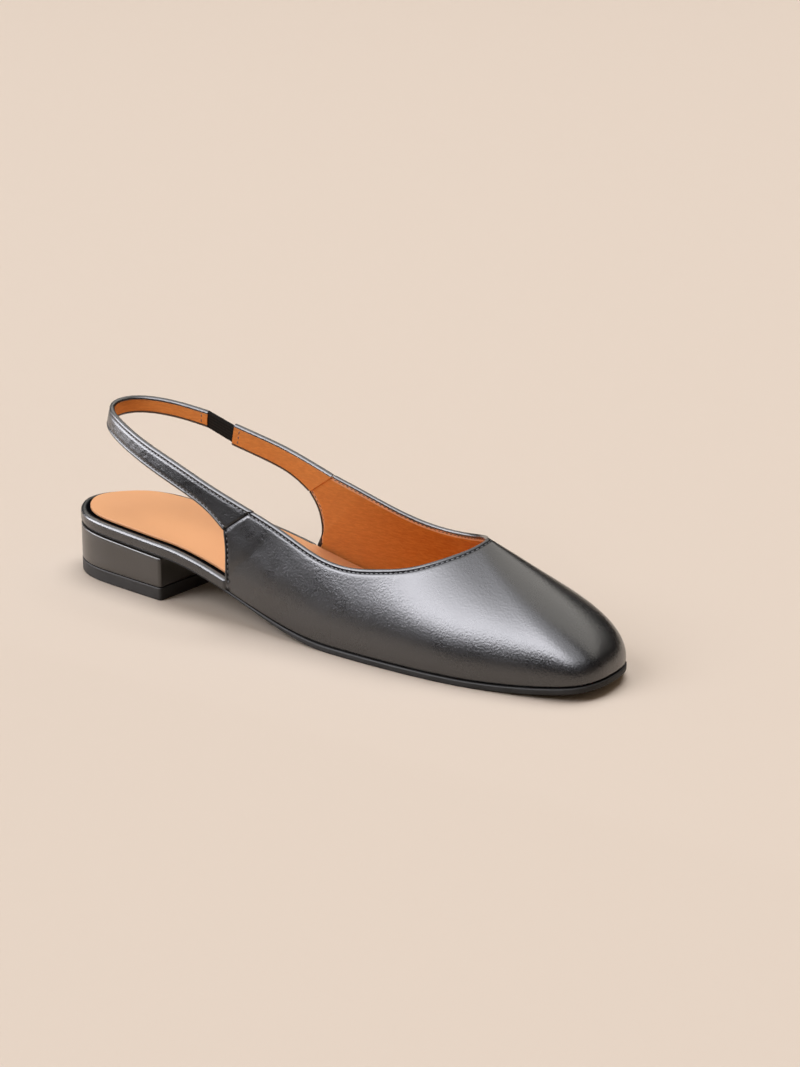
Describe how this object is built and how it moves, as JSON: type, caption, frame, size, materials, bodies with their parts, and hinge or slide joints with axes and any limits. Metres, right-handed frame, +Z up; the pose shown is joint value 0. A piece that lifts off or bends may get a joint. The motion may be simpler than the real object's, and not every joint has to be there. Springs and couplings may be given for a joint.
{
  "type": "sling back flat",
  "caption": "Left sling back flat: low-cut closed-toe leather vamp with side wings, strap round the heel joined by an elastic, thin sole and low block heel.",
  "frame": {"origin": "middle of the sole's box, on the floor that the heel and the tread rest on", "axes": "+X from the heel to the toe, +Y to the outer side of the left foot, +Z up"},
  "size_m": [0.2559, 0.0724, 0.0689],
  "materials": {
    "upper_leather": "smooth black calf with a soft gloss",
    "tan_leather": "soft tan lining leather, matte",
    "heel_leather": "thin black leather cover, satin",
    "heel_rubber": "matte black",
    "sole_rubber": "matte black",
    "elastic_webbing": "matte woven elastic"
  },
  "bodies": {
    "root": {"outsole": "sole_rubber", "heel_block": "heel_leather", "heel_tip": "heel_rubber", "insole_board": "upper_leather", "insole_sock": "tan_leather", "upper": "upper_leather", "sling_strap": "upper_leather", "strap_tab": "upper_leather", "elastic": "elastic_webbing"}
  },
  "joints": []
}
